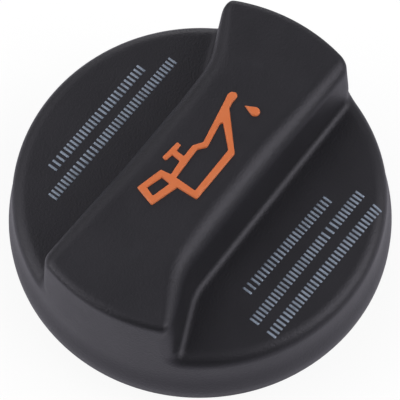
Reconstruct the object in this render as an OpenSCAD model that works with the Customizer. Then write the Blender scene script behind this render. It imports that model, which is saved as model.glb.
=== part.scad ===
// Oil filler cap for a car engine.
// A round moulded cover with a full-width finger grip, a quarter-turn locking
// insert held inside it, a flat rubber seal and a raised oil can sign.
// Heights are measured from the lower end of the locking insert.

/* [Cover] */
// Outer diameter over the lip at the foot of the skirt
cap_d = 70; // [64:0.5:80]
// How far the skirt wall stands inside the lip, at the foot of the skirt
lip_out = 0.5; // [0.2:0.1:1.5]
// Height of the plain band of the lip
lip_band = 2.4; // [1:0.1:4]
// Height of the hollow sweep between the lip band and the skirt wall
lip_sweep = 2.8; // [1.5:0.1:4]
// Height of the two finger floors above the foot of the skirt
floor_h = 13.2; // [12.5:0.1:18]
// Taper of the skirt and of the grip's ends, in degrees
skirt_draft = 4.5; // [1:0.5:6]
// Rounding between the floors and the skirt
rim_round = 2.5; // [1:0.1:3]
// Wall thickness of the skirt, the deck and the grip
wall = 2.5; // [1.5:0.1:3]
// Ledge between the skirt's inner face and the ends of the grip's hollow
ledge = 0.7; // [0.4:0.1:2]

/* [Grip] */
// Height of the grip above the floors
grip_rise = 12.1; // [8:0.1:18]
// Half width of the grip at the floor, on its straight length
grip_half = 11.3; // [9:0.1:14]
// Taper of the grip's long walls, in degrees
grip_draft = 4; // [1:0.5:8]
// Rounding along the grip's two long top edges
grip_round = 4; // [3:0.1:5]
// Rounding of the top edge at the grip's two ends
end_round = 1.4; // [0.5:0.1:2.5]
// Fillet along the foot of the grip's long walls
foot_fillet = 1.2; // [0.5:0.1:2]
// Where each long wall begins to turn outward, from the middle of the cap
flare_start = 14.5; // [10:0.5:20]
// Angle by which each long wall turns outward at its one end, in degrees
flare_angle = 24; // [5:1:40]
// Radius of that turn, at the foot of the wall
flare_radius = 12; // [6:0.5:20]

/* [Inside ribs] */
// Number of ribs across the hollow of the grip
rib_count = 3; // [1:1:5]
// Distance between those ribs
rib_pitch = 14; // [8:0.5:14]
// Thickness of the ribs and of the stop ring
rib_t = 1.6; // [1:0.1:2.5]
// How far the stop ring under the deck stands inside the insert's flange
stop_ring_in = 2; // [1:0.1:3]
// Height of the stop ring below the deck
stop_ring_h = 0.8; // [0.5:0.1:2]
// Number of snap beads that hold the locking insert
snap_count = 6; // [3:1:8]
// Angle that each snap bead spans, in degrees
snap_angle = 16; // [8:1:30]
// Height of a snap bead
snap_h = 1.6; // [1:0.1:2]
// How far a snap bead reaches under the insert's flange
snap_grip = 0.8; // [0.4:0.1:1.2]

/* [Locking insert] */
// Thickness of the flange that closes the cover
flange_t = 2; // [1.5:0.1:3]
// Gap between the flange's edge and the skirt
flange_gap = 0.4; // [0.2:0.1:0.6]
// How far the spigot that enters the filler neck stands inside the flange
spigot_in = 12; // [10:0.1:14]
// Wall thickness of the spigot
spigot_wall = 2.6; // [1.8:0.1:3.5]
// How far the spigot stands below the foot of the skirt
spigot_drop = 9; // [6:0.5:14]
// Number of locking lugs
lug_count = 3; // [2:1:4]
// Angle that each lug spans, in degrees
lug_angle = 38; // [20:1:60]
// How far a lug stands out from the spigot
lug_out = 2.6; // [1.5:0.1:4]
// Height of a lug at its thick end
lug_h = 4.6; // [3:0.1:6]
// Slope of the lug's wedging face, in degrees
lug_slope = 8; // [0:1:14]
// Height of the lugs above the lower end of the spigot
lug_z = 1.4; // [0:0.1:3]

/* [Seal ring] */
// How far the ring's outer edge stands inside the insert's flange
seal_in = 5.5; // [4.5:0.1:7]
// Thickness of the seal ring
seal_t = 3.2; // [2:0.1:3.5]
// Gap between the seal ring and the spigot, on the radius
seal_gap = 0.1; // [0.05:0.05:0.3]
// Chamfer round the ring's lower outer edge
seal_edge = 0.5; // [0.2:0.1:0.8]
// Height and depth of the spigot's collar below the seal
collar = 0.9; // [0.5:0.1:1.4]

/* [Oil can sign] */
// Height of the raised sign above the grip
sign_t = 0.35; // [0.2:0.05:0.8]
// Width of the sign's strokes
sign_stroke = 1; // [0.6:0.1:1.2]
// Length of the can in the sign, from the handle's end to the spout's end
sign_len = 26; // [18:0.5:28]

/* [Hidden] */
$fn = 96;
arc_steps = 8;
turn_steps = 6;
reach = 60;
skin = 0.3;
foot_z = spigot_drop;
floor_z = foot_z + floor_h;
top_z = floor_z + grip_rise;
skirt_foot_r = cap_d / 2 - lip_out;
sweep_z = foot_z + lip_band + lip_sweep;
deck_z = floor_z - wall;
flange_z = deck_z - stop_ring_h - flange_t;
flange_r = skirt_r(flange_z) - wall - flange_gap;
stop_ring_r = flange_r - stop_ring_in;
spigot_r = flange_r - spigot_in;
seal_r = flange_r - seal_in;
seal_z = flange_z - seal_t;
black = [0.13, 0.13, 0.14];
insert_grey = [0.20, 0.20, 0.21];
rubber = [0.07, 0.07, 0.07];
orange = [0.92, 0.42, 0.18];

// Radius of the skirt's tapered outer face at a height
function skirt_r(z) = skirt_foot_r - (z - foot_z) * tan(skirt_draft);

// Points of an arc round a centre, both ends included
function arc(c, r, from, to, steps = arc_steps) =
    [for (i = [0:steps]) let (a = from + (to - from) * i / steps) c + r * [cos(a), sin(a)]];

// Half width of the grip's straight length at a height, drawn in by an inset
function grip_w(z, inset = 0) =
    grip_half - (z - floor_z) * tan(grip_draft) - inset / cos(grip_draft);

// Rounded top edge of the long wall in section, as half widths and heights
function top_edge(inset) =
    let (
        r = max(grip_round - inset, 0.5),
        z = top_z - inset - r,
        c = [grip_w(z, inset) - r / cos(grip_draft), z]
    )
    arc(c, r, grip_draft, 90);

// Fillet between the floor and the long wall in section
function foot_edge() =
    let (c = [grip_half + foot_fillet * tan(45 - grip_draft / 2), floor_z + foot_fillet])
    arc(c, foot_fillet, 270, 180 + grip_draft);

// One long wall in plan at a half width: straight, round the turn, then outward
function wall_line(w) =
    let (
        c = [flare_start, grip_half + flare_radius],
        r = c.y - w,
        turn = [for (i = [0:turn_steps]) let (a = flare_angle * i / turn_steps) c + r * [sin(a), -cos(a)]],
        far = turn[turn_steps] + reach * [cos(flare_angle), sin(flare_angle)]
    )
    concat(
        [[-far.x, w]],
        [for (i = [turn_steps:-1:0]) [-turn[i].x, w]],
        turn,
        [far]
    );

// Bar between the two long walls, through sections of half width and height
module grip_bar(section) {
    rings = [for (s = section) let (line = wall_line(s.x)) concat(
        [for (p = line) [p.x, p.y, s.y]],
        [for (p = line) [-p.x, -p.y, s.y]]
    )];
    n = len(rings[0]);
    last = (len(rings) - 1) * n;
    sides = [for (k = [0:len(rings) - 2], i = [0:n - 1]) let (a = k * n + i, b = k * n + (i + 1) % n)
        each [[a, b, b + n], [a, b + n, a + n]]];
    bottom = [for (i = [0:n / 2 - 2]) [n - 1 - i, n - 2 - i, i + 1, i]];
    top = [for (i = [0:n / 2 - 2]) [last + i, last + i + 1, last + n - 2 - i, last + n - 1 - i]];
    polyhedron(
        points = [for (ring = rings) each ring],
        faces = concat(bottom, sides, top)
    );
}

// The whole outside before the finger floors are sunk: skirt, lip and grip ends
module full_form() {
    out = cap_d / 2 - skirt_r(sweep_z);
    sweep_r = (lip_sweep * lip_sweep + out * out) / (2 * out);
    sweep_a = asin(lip_sweep / sweep_r);
    end_c = [skirt_r(top_z - end_round) - end_round / cos(skirt_draft), top_z - end_round];
    rotate_extrude()
        polygon(concat(
            [[0, foot_z], [cap_d / 2, foot_z]],
            arc([skirt_r(sweep_z) + sweep_r, sweep_z], sweep_r, 180 + sweep_a, 180),
            arc(end_c, end_round, skirt_draft, 90, 5),
            [[0, top_z]]
        ));
}

// The space above the floors and round their outer rim
module above_floors() {
    rim_z = floor_z - rim_round;
    c = [skirt_r(rim_z) - rim_round / cos(skirt_draft), rim_z];
    rotate_extrude()
        polygon(concat(
            [[0, floor_z]],
            arc(c, rim_round, 90, skirt_draft),
            [[reach, rim_z], [reach, top_z + 1], [0, top_z + 1]]
        ));
}

// The two D-shaped spaces that are sunk beside the grip
module finger_spaces() {
    toe = foot_edge()[0].x;
    crest = top_edge(0)[arc_steps].x;
    difference() {
        above_floors();
        grip_bar(concat([[toe, foot_z]], foot_edge(), top_edge(0), [[crest, top_z + 2]]));
    }
}

// The outside of the cover: the full form with the finger spaces sunk into it
module outer_form() {
    difference() {
        full_form();
        finger_spaces();
    }
}

// The grip's form from a height upward, drawn in by an inset on every face
module grip_core(inset, below) {
    intersection() {
        grip_bar(concat([[grip_w(below, inset), below]], top_edge(inset)));
        translate([0, 0, below - 1])
            cylinder(
                h = top_z - below + 2,
                r1 = skirt_r(below - 1) - inset - ledge,
                r2 = skirt_r(top_z + 1) - inset - ledge
            );
    }
}

// The space inside the skirt, up to the underside of the deck
module skirt_hollow() {
    h = deck_z - foot_z;
    translate([0, 0, foot_z - 1])
        cylinder(h = h + 1, r1 = skirt_r(foot_z - 1) - wall, r2 = skirt_r(deck_z) - wall);
}

// The hollow of the grip, left solid where the ribs cross it
module grip_hollow() {
    difference() {
        grip_core(wall, deck_z - 1);
        for (i = [0:rib_count - 1])
            translate([(i - (rib_count - 1) / 2) * rib_pitch - rib_t / 2, -grip_half, foot_z])
                cube([rib_t, 2 * grip_half, top_z]);
    }
}

// Ring under the deck that the insert's flange stops against
module stop_ring() {
    translate([0, 0, flange_z + flange_t])
        difference() {
            cylinder(h = stop_ring_h + skin, r = stop_ring_r);
            translate([0, 0, -1])
                cylinder(h = stop_ring_h + 2, r = stop_ring_r - rib_t);
        }
}

// Beads inside the skirt that the flange snaps past
module snap_beads() {
    inner = flange_r - snap_grip;
    for (i = [0:snap_count - 1])
        rotate([0, 0, (i + 0.5) * 360 / snap_count - snap_angle / 2])
            rotate_extrude(angle = snap_angle)
                polygon([
                    [inner, flange_z],
                    [skirt_r(flange_z) - wall + skin, flange_z],
                    [skirt_r(flange_z - snap_h) - wall + skin, flange_z - snap_h],
                    [inner + snap_h / 2, flange_z - snap_h]
                ]);
}

// Outer moulding: skirt, finger floors and hollow grip in one piece
module cover() {
    color(black) {
        difference() {
            outer_form();
            skirt_hollow();
            grip_hollow();
        }
        stop_ring();
        snap_beads();
    }
}

// One locking lug with its sloped wedging face
module lug() {
    outer = spigot_r + lug_out;
    z = lug_z;
    difference() {
        rotate([0, 0, -lug_angle / 2])
            rotate_extrude(angle = lug_angle)
                polygon([
                    [spigot_r - spigot_wall / 2, z],
                    [outer - lug_out / 3, z],
                    [outer, z + lug_out / 3],
                    [outer, z + lug_h],
                    [spigot_r - spigot_wall / 2, z + lug_h]
                ]);
        translate([0, outer * sin(lug_angle / 2) + skin, z + lug_h])
            rotate([lug_slope, 0, 0])
                translate([0, -reach, 0])
                    cube(reach);
    }
}

// Flange, spigot and the collar that keeps the seal ring, turned in one profile
module insert_body() {
    hollow_r = spigot_r - spigot_wall;
    rotate_extrude()
        polygon([
            [0, flange_z],
            [hollow_r, flange_z],
            [hollow_r, 0],
            [spigot_r, 0],
            [spigot_r, seal_z - 2 * collar],
            [spigot_r + collar, seal_z - collar],
            [spigot_r + collar, seal_z],
            [spigot_r, seal_z],
            [spigot_r, flange_z],
            [flange_r, flange_z],
            [flange_r, flange_z + flange_t],
            [0, flange_z + flange_t]
        ]);
}

// Locking insert: the turned body with its locking lugs
module locking_insert() {
    color(insert_grey) {
        insert_body();
        for (i = [0:lug_count - 1])
            rotate([0, 0, i * 360 / lug_count])
                lug();
    }
}

// Flat rubber ring between the insert's flange and its collar
module seal_ring() {
    inner = spigot_r + seal_gap;
    color(rubber)
        rotate_extrude()
            polygon([
                [inner, flange_z],
                [inner, seal_z],
                [seal_r - seal_edge, seal_z],
                [seal_r, seal_z + seal_edge],
                [seal_r, flange_z]
            ]);
}

// A line of the sign round an anticlockwise outline, with mitred corners
module band(points) {
    n = len(points);
    edge = [for (i = [0:n - 1]) let (d = points[(i + 1) % n] - points[i]) [-d.y, d.x] / norm(d)];
    side = [for (i = [0:n - 1]) let (a = edge[(i + n - 1) % n], b = edge[i]) (a + b) / (1 + a * b)];
    half = sign_stroke / 2;
    difference() {
        polygon([for (i = [0:n - 1]) points[i] - half * side[i]]);
        polygon([for (i = [0:n - 1]) points[i] + half * side[i]]);
    }
}

// A straight line of the sign with square ends
module bar(a, b) {
    along = (b - a) / norm(b - a);
    across = sign_stroke / 2 * [-along.y, along.x];
    polygon([a - across, b - across, b + across, a + across]);
}

// The common oil can sign: can, spout, handle, filler and one drop
module oil_can_sign() {
    unit = sign_len / 26;
    handle = unit * [[-10.3, 4.4], [-11.2, 1.6], [-6.8, 0.3], [-6.1, 3.3]];
    can = unit * [[-5.9, -3.8], [4.1, -4.0], [10.2, 1.4], [9.4, 2.1], [2.7, 0.6], [1.2, 1.8], [-5.9, 1.3]];
    color(orange)
        translate([0, 0, top_z])
            linear_extrude(sign_t) {
                band(handle);
                band(can);
                bar(unit * [9.2, 1.7], unit * [14, 2.8]);
                bar(unit * [-1.7, 1.6], unit * [-1.7, 4.2]);
                bar(unit * [-3.8, 4.7], unit * [0.3, 4.4]);
                polygon(concat(
                    [unit * [12.8, -0.5]],
                    arc(unit * [13.1, -2.6], 0.9 * unit, 15, -210, 20)
                ));
            }
}

cover();
locking_insert();
seal_ring();
oil_can_sign();
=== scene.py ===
"""Dresses the oil filler cap and sets it in a plain studio.

The cover is a smooth moulding settled on a distance field, the insert and the seal are turned from
profiles, and the sign and the marks stand on the cover. Sizes are in millimetres, meshes in metres.
"""

import logging
import math
from collections.abc import Callable
from dataclasses import dataclass, field
from enum import Enum
from typing import Any

import bmesh
import bpy
import numpy as np
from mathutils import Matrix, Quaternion, Vector
from numpy.typing import NDArray


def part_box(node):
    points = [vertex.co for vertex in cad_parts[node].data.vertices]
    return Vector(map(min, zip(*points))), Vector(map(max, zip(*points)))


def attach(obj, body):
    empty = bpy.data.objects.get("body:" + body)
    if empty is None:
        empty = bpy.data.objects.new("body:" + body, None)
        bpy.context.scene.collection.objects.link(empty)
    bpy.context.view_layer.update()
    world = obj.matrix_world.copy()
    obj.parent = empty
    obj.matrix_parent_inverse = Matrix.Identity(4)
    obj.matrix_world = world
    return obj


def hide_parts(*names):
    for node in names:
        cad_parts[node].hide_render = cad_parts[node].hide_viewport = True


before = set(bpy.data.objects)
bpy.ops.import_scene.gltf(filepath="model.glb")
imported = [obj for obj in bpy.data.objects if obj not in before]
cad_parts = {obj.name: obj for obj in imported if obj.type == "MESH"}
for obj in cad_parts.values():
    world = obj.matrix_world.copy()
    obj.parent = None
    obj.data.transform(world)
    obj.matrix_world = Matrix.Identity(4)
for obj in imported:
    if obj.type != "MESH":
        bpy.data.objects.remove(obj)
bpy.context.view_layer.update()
MM = 0.001
ROOT = "root"
LOG = logging.getLogger("oil_filler_cap")
Values = NDArray[np.float64]
Socket = bpy.types.NodeSocket
Face = tuple[int, ...]
TINY = 1e-9
MERGE_M = 1e-6
SLIVER_M = 1e-7
END_SHARE = 0.45
EDGE_ROWS = (0.12, 0.25, 0.4)
HALF_TURN = (-1.0, -1.0, 1.0)


class Slot(Enum):
    """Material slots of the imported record."""

    COVER = "cover_plastic"
    INSERT = "insert_plastic"
    SEAL = "seal_rubber"
    SIGN = "sign_orange"


class Graph:
    """Adds and links nodes in a shader or geometry tree."""

    def __init__(self, tree: bpy.types.NodeTree) -> None:
        """Starts on an empty tree.

        Args:
            tree: The node tree to fill.
        """
        self.tree = tree
        self.tree.nodes.clear()

    def add(self, kind: str, inputs: dict[Any, Any] | None = None, **settings: Any) -> bpy.types.Node:
        """Adds one node.

        Args:
            kind: The node's type name.
            inputs: Values or sockets for the node's inputs, by name or index.
            settings: The node's own properties.

        Returns:
            The new node.
        """
        node = self.tree.nodes.new(kind)
        for name, value in settings.items():
            setattr(node, name, value)
        for key, value in (inputs or {}).items():
            if isinstance(value, Socket):
                self.tree.links.new(value, node.inputs[key])
            else:
                node.inputs[key].default_value = value
        return node

    def out(self, kind: str, inputs: dict[Any, Any] | None = None, **settings: Any) -> Socket:
        """Adds one node and gives its first output; the arguments are as in add."""
        return self.add(kind, inputs, **settings).outputs[0]

    def math(self, operation: str, first: Any, second: Any = 0.0, clamp: bool = False) -> Socket:
        """Adds a Math node.

        Args:
            operation: The Math node's operation.
            first: Its first value or socket.
            second: Its second value or socket.
            clamp: Whether the result is kept from 0 to 1.

        Returns:
            The result's socket.
        """
        return self.out("ShaderNodeMath", {0: first, 1: second}, operation=operation, use_clamp=clamp)

    def ramp(self, value: Any, low: float, high: float, start: Any = 0.0, end: Any = 1.0) -> Socket:
        """Maps a value from one range to another and keeps it inside.

        Args:
            value: The value's socket.
            low: Where the ramp begins.
            high: Where the ramp ends.
            start: Result at the beginning.
            end: Result at the end.

        Returns:
            The result's socket.
        """
        return self.out("ShaderNodeMapRange", {0: value, 1: low, 2: high, 3: start, 4: end})

    def noise(self, place: Socket, size_mm: float, detail: float, roughness: float) -> Socket:
        """Adds a noise pattern.

        Args:
            place: Where the pattern is read.
            size_mm: Size of its largest spots, in millimetres.
            detail: Number of finer layers.
            roughness: Share of each finer layer.

        Returns:
            The pattern's value, about 0.3 to 0.7.
        """
        inputs = {"Vector": place, "Scale": 1.0 / (size_mm * MM), "Detail": detail, "Roughness": roughness}
        return self.out("ShaderNodeTexNoise", inputs)


@dataclass(frozen=True)
class Finish:
    """A moulded or printed surface with grain, cloudy gloss and rubbed edges.

    A span is the stretch of a pattern's value, or of the edges' pointiness, over which an effect grows.
    A noise is the number of its finer layers and the share of each.
    """

    name: str
    colour: tuple[float, float, float]
    worn: tuple[float, float, float]
    roughness: float
    spread: float
    grain_mm: float
    depth_mm: float
    cloud_mm: float = 9.0
    wear: float = 0.25
    dust: float = 0.12
    glint: float = 0.02
    # Colour of every reflection. A bluish tint here is painted light: it stands in for a bluish cast of the
    # studio light.
    painted_reflection_tint: tuple[float, float, float] = (1.0, 1.0, 1.0)
    grain_noise: tuple[float, float] = (3.0, 0.6)
    cloud_noise: tuple[float, float] = (4.0, 0.55)
    noise_span: tuple[float, float] = (0.3, 0.7)
    edge_span: tuple[float, float] = (0.53, 0.6)
    wear_span: tuple[float, float] = (0.4, 0.7)
    dust_span: tuple[float, float] = (0.35, 0.75)

    def material(self) -> bpy.types.Material:
        """Builds the node material.

        Returns:
            The new material.
        """
        made = bpy.data.materials.new(self.name)
        made.use_nodes = True
        graph = Graph(made.node_tree)
        place = graph.add("ShaderNodeTexCoord").outputs["Object"]
        grain = graph.noise(place, self.grain_mm, *self.grain_noise)
        cloud = graph.noise(place, self.cloud_mm, *self.cloud_noise)
        point = graph.add("ShaderNodeNewGeometry").outputs["Pointiness"]
        edges, patches = graph.ramp(point, *self.edge_span), graph.ramp(cloud, *self.wear_span)
        rubbed = graph.math("MULTIPLY", graph.math("MULTIPLY", edges, patches, True), self.wear)
        dusty = graph.math("MULTIPLY", graph.ramp(cloud, *self.dust_span), self.dust)
        share = graph.math("ADD", rubbed, dusty, True)
        colours = {0: share, 6: (*self.colour, 1.0), 7: (*self.worn, 1.0)}
        colour = graph.add("ShaderNodeMix", colours, data_type="RGBA").outputs[2]
        low, high = self.roughness - self.spread, self.roughness + self.spread
        gloss = graph.ramp(cloud, *self.noise_span, low, high)
        rough = graph.math("ADD", gloss, graph.ramp(grain, *self.noise_span, -self.glint, self.glint))
        bump = graph.out("ShaderNodeBump", {"Height": grain, "Distance": self.depth_mm * MM, "Strength": 1.0})
        surface = {"Base Color": colour, "Roughness": rough, "Normal": bump}
        # Reflections take the painted tint, a stand-in for the light's colour.
        surface["Specular Tint"] = (*self.painted_reflection_tint, 1.0)
        graph.add("ShaderNodeOutputMaterial", {"Surface": graph.out("ShaderNodeBsdfPrincipled", surface)})
        return made


# Black plastic whose reflections carry a painted bluish tint, in place of a bluish cast of the light.
BLACK_PLASTIC = Finish(
    "black_moulded_plastic", colour=(0.0150, 0.0147, 0.0178), worn=(0.045, 0.044, 0.052),
    roughness=0.42, spread=0.03, grain_mm=0.42, depth_mm=0.08, painted_reflection_tint=(0.92, 0.885, 1.0),
)
INSERT_PLASTIC = Finish(
    "insert_plastic", colour=(0.022, 0.022, 0.024), worn=(0.06, 0.06, 0.062),
    roughness=0.48, spread=0.05, grain_mm=0.5, depth_mm=0.010,
)
SEAL_RUBBER = Finish(
    "black_rubber", colour=(0.012, 0.012, 0.012), worn=(0.035, 0.034, 0.033),
    roughness=0.62, spread=0.06, grain_mm=0.25, depth_mm=0.010, cloud_mm=6.0, wear=0.1,
)
SIGN_PAINT = Finish(
    "orange_paint", colour=(0.80, 0.200, 0.062), worn=(0.92, 0.31, 0.13),
    roughness=0.36, spread=0.05, grain_mm=0.3, depth_mm=0.012, cloud_mm=2.0, wear=0.5,
)
PRINT_INK = Finish(
    "pale_grey_ink", colour=(0.315, 0.372, 0.475), worn=(0.18, 0.21, 0.27),
    roughness=0.5, spread=0.05, grain_mm=0.3, depth_mm=0.004, cloud_mm=2.5, wear=0.6,
)


def round_max(a: Values, b: Values, radius: Any) -> Values:
    """Intersects two distance fields with a rounded edge.

    Args:
        a: First field's values.
        b: Second field's values.
        radius: Radius of the rounding, one value or one for each point.

    Returns:
        The joint field's values.
    """
    corner = np.hypot(np.maximum(a + radius, 0.0), np.maximum(b + radius, 0.0))
    return np.minimum(-radius, np.maximum(a, b)) + corner


def round_min(a: Values, b: Values, radius: Any) -> Values:
    """Unites two distance fields with a rounded inner corner; the arguments are as in round_max."""
    return -round_max(-a, -b, radius)


def smooth(value: Values, low: float, high: float) -> Values:
    """Smooth step from 0 at low to 1 at high."""
    t = np.clip((value - low) / (high - low), 0.0, 1.0)
    return t * t * (3.0 - 2.0 * t)


def placed(name: str, data: bpy.types.ID) -> bpy.types.Object:
    """Makes an object and links it to the scene.

    Args:
        name: The object's name.
        data: Its mesh or camera.

    Returns:
        The linked object.
    """
    made = bpy.data.objects.new(name, data)
    bpy.context.scene.collection.objects.link(made)
    return made


def mesh_object(name: str, points: Values, faces: list[Face]) -> bpy.types.Object:
    """Makes a mesh object from points in millimetres, with doubles merged and normals outward.

    Args:
        name: The object's name.
        points: One row for each point.
        faces: Point numbers of each face.

    Returns:
        The object, linked to the scene.
    """
    mesh = bpy.data.meshes.new(name)
    mesh.from_pydata((points * MM).tolist(), [], faces)
    work = bmesh.new()
    work.from_mesh(mesh)
    bmesh.ops.remove_doubles(work, verts=work.verts, dist=MERGE_M)
    bmesh.ops.dissolve_degenerate(work, edges=work.edges, dist=SLIVER_M)
    bmesh.ops.recalc_face_normals(work, faces=work.faces)
    for face in work.faces:
        face.smooth = True
    work.to_mesh(mesh)
    work.free()
    return placed(name, mesh)


def ring_faces(rings: int, count: int) -> list[Face]:
    """Faces of a closed body made of rings of points, with one face over each end.

    Args:
        rings: Number of rings.
        count: Number of points in each ring.

    Returns:
        Point numbers of each face.
    """
    faces: list[Face] = [
        (i * count + k, i * count + (k + 1) % count, (i + 1) * count + (k + 1) % count, (i + 1) * count + k)
        for i in range(rings - 1)
        for k in range(count)
    ]
    faces.append(tuple(range(count)))
    faces.append(tuple(reversed(range((rings - 1) * count, rings * count))))
    return faces


def rounded(points: Any, reach: float, steps: int = 4, closed: bool = True) -> Values:
    """Rounds the corners of an outline or profile with short curves.

    Args:
        points: The corners in order.
        reach: Distance from a corner at which its curve begins.
        steps: Points in each curve.
        closed: Whether the last corner joins the first; otherwise both ends stay sharp.

    Returns:
        The rounded line's points.
    """
    p = np.array(points, dtype=float)
    made = []
    for number, (before, here, after) in enumerate(zip(np.roll(p, 1, 0), p, np.roll(p, -1, 0))):
        if not closed and number in (0, len(p) - 1):
            made.append(here)
            continue
        a, b = before - here, after - here
        cut = min(reach, END_SHARE * float(np.linalg.norm(a)), END_SHARE * float(np.linalg.norm(b)))
        first, last = here + cut * a / np.linalg.norm(a), here + cut * b / np.linalg.norm(b)
        for t in np.linspace(0.0, 1.0, steps):
            made.append((1 - t) ** 2 * first + 2 * t * (1 - t) * here + t**2 * last)
    return np.array(made)


def sector(
    name: str, section: Callable[[float], Values], half_angle: float, steps: int = 14, bevel: float = 0.25
) -> bpy.types.Object:
    """Makes a closed block that follows the cap's round, with bevelled ends.

    Args:
        name: The object's name.
        section: Function that gives the block's section at an angle, as rows of radius and height.
        half_angle: Half of the block's angle, in degrees.
        steps: Number of steps round the block.
        bevel: Size of the bevel at both ends, in millimetres.

    Returns:
        The block, with the middle of its round towards +X.
    """
    turn = math.radians(half_angle)
    middle = float(section(0.0)[:, 0].max())
    inner = turn - bevel / middle
    angles = [-turn, *np.linspace(-inner, inner, steps), turn]
    rings = []
    for number, angle in enumerate(angles):
        ring = section(angle)
        if number in (0, len(angles) - 1):
            centre = ring.mean(axis=0)
            away = centre - ring
            ring = ring + away * (bevel / np.linalg.norm(away, axis=1))[:, None]
        radius, height = ring.T
        rings.append(np.stack([radius * math.cos(angle), radius * math.sin(angle), height], 1))
    return mesh_object(name, np.concatenate(rings), ring_faces(len(rings), len(rings[0])))


def joined(name: str, pieces: list[bpy.types.Object], finish: bpy.types.Material) -> bpy.types.Object:
    """Joins the pieces of one moulding into one object of one material.

    Args:
        name: Name of the joined object.
        pieces: The pieces, which are used up.
        finish: The material.

    Returns:
        The joined object.
    """
    work = bmesh.new()
    for piece in pieces:
        work.from_mesh(piece.data)
    mesh = bpy.data.meshes.new(name)
    for face in work.faces:
        face.material_index = 0
    work.to_mesh(mesh)
    work.free()
    mesh.materials.append(finish)
    for piece in pieces:
        bpy.data.objects.remove(piece)
    return placed(name, mesh)


class Pattern:
    """A Geometry Nodes tree with named inputs, run once on a host object."""

    def __init__(self, name: str, inputs: dict[str, str]) -> None:
        """Starts a tree with a geometry input and output.

        Args:
            name: The tree's name.
            inputs: Socket types of the further inputs, by name.
        """
        self.tree = bpy.data.node_groups.new(name, "GeometryNodeTree")
        self.graph = Graph(self.tree)
        self.tree.interface.new_socket("Geometry", in_out="INPUT", socket_type="NodeSocketGeometry")
        for key, kind in {**inputs, "Finish": "NodeSocketMaterial"}.items():
            self.tree.interface.new_socket(key, in_out="INPUT", socket_type=kind)
        self.tree.interface.new_socket("Geometry", in_out="OUTPUT", socket_type="NodeSocketGeometry")
        self.inputs = self.graph.add("NodeGroupInput").outputs

    def end(self, geometry: Socket) -> None:
        """Closes the tree with smooth faces, real copies and a material.

        Args:
            geometry: The pattern's last geometry.
        """
        real = self.graph.out("GeometryNodeRealizeInstances", {0: geometry})
        soft = self.graph.out("GeometryNodeSetShadeSmooth", {"Geometry": real})
        dressed = {"Geometry": soft, "Material": self.inputs["Finish"]}
        self.graph.add("NodeGroupOutput", {0: self.graph.out("GeometryNodeSetMaterial", dressed)})

    def run(self, host: bpy.types.Object, values: dict[str, Any]) -> bpy.types.Object:
        """Runs the tree on an object and keeps the result as a plain mesh.

        Args:
            host: The object that carries the tree's starting geometry.
            values: Values of the named inputs.

        Returns:
            The same object with its new mesh.
        """
        modifier = host.modifiers.new(self.tree.name, "NODES")
        modifier.node_group = self.tree
        for item in self.tree.interface.items_tree:
            if item.in_out == "INPUT" and item.name in values:
                modifier[item.identifier] = values[item.name]
        shown = host.evaluated_get(bpy.context.evaluated_depsgraph_get())
        mesh = bpy.data.meshes.new_from_object(shown)
        host.modifiers.remove(modifier)
        host.data = mesh
        work = bmesh.new()
        work.from_mesh(mesh)
        bmesh.ops.dissolve_degenerate(work, edges=work.edges, dist=SLIVER_M)
        bmesh.ops.recalc_face_normals(work, faces=work.faces)
        work.to_mesh(mesh)
        work.free()
        return host


class Turning(Pattern):
    """Turns a profile of radius (X) and height (Z) round the cap's axis."""

    SEGMENTS = 180

    def __init__(self) -> None:
        """Builds the tree: a grid whose rows take the profile's points and whose columns go round."""
        super().__init__("turned_profile", {"Segments": "NodeSocketInt", "Closed": "NodeSocketInt"})
        graph, inputs = self.graph, self.inputs
        count = graph.out("GeometryNodeAttributeDomainSize", {0: inputs["Geometry"]}, component="MESH")
        rows = graph.math("ADD", count, inputs["Closed"])
        columns = graph.math("ADD", inputs["Segments"], 1.0)
        grid = graph.add("GeometryNodeMeshGrid", {"Vertices X": columns, "Vertices Y": rows}).outputs["Mesh"]
        index = graph.out("GeometryNodeInputIndex")
        column = graph.math("FLOOR", graph.math("DIVIDE", graph.math("ADD", index, 0.5), rows))
        row = graph.math("SUBTRACT", index, graph.math("MULTIPLY", column, rows))
        row = graph.math("MODULO", row, count)
        place = graph.out("GeometryNodeInputPosition")
        sampled = {0: inputs["Geometry"], "Value": place, "Index": row}
        point = graph.out("GeometryNodeSampleIndex", sampled, data_type="FLOAT_VECTOR")
        angle = graph.math("MULTIPLY", graph.math("DIVIDE", column, inputs["Segments"]), math.tau)
        turn = {"Vector": point, "Angle": angle}
        turned = graph.out("ShaderNodeVectorRotate", turn, rotation_type="Z_AXIS")
        round_it = graph.out("GeometryNodeSetPosition", {"Geometry": grid, "Position": turned})
        self.end(graph.out("GeometryNodeMergeByDistance", {"Geometry": round_it, "Distance": MERGE_M}))

    def turn(self, name: str, profile: Values, finish: bpy.types.Material, closed: bool) -> bpy.types.Object:
        """Turns a profile given in millimetres.

        Args:
            name: The object's name.
            profile: Rows of radius and height.
            finish: The material.
            closed: Whether the profile's last point joins its first.

        Returns:
            The turned object.
        """
        mesh = bpy.data.meshes.new(name)
        mesh.from_pydata([(r * MM, 0.0, z * MM) for r, z in profile], [], [])
        values = {"Segments": self.SEGMENTS, "Closed": int(closed), "Finish": finish}
        return self.run(placed(name, mesh), values)


class Around(Pattern):
    """Repeats a piece at even angles round the cap's axis."""

    def __init__(self) -> None:
        """Builds the tree: one turned copy at each of a number of points."""
        super().__init__("copies_around", {"Count": "NodeSocketInt", "Start": "NodeSocketFloat"})
        graph, inputs = self.graph, self.inputs
        spots = graph.out("GeometryNodePoints", {"Count": inputs["Count"]})
        index = graph.out("GeometryNodeInputIndex")
        share = graph.math("DIVIDE", graph.math("ADD", index, inputs["Start"]), inputs["Count"])
        turn = graph.out("ShaderNodeCombineXYZ", {2: graph.math("MULTIPLY", share, math.tau)})
        copies = {"Points": spots, "Instance": inputs["Geometry"], "Rotation": turn}
        self.end(graph.out("GeometryNodeInstanceOnPoints", copies))


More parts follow.
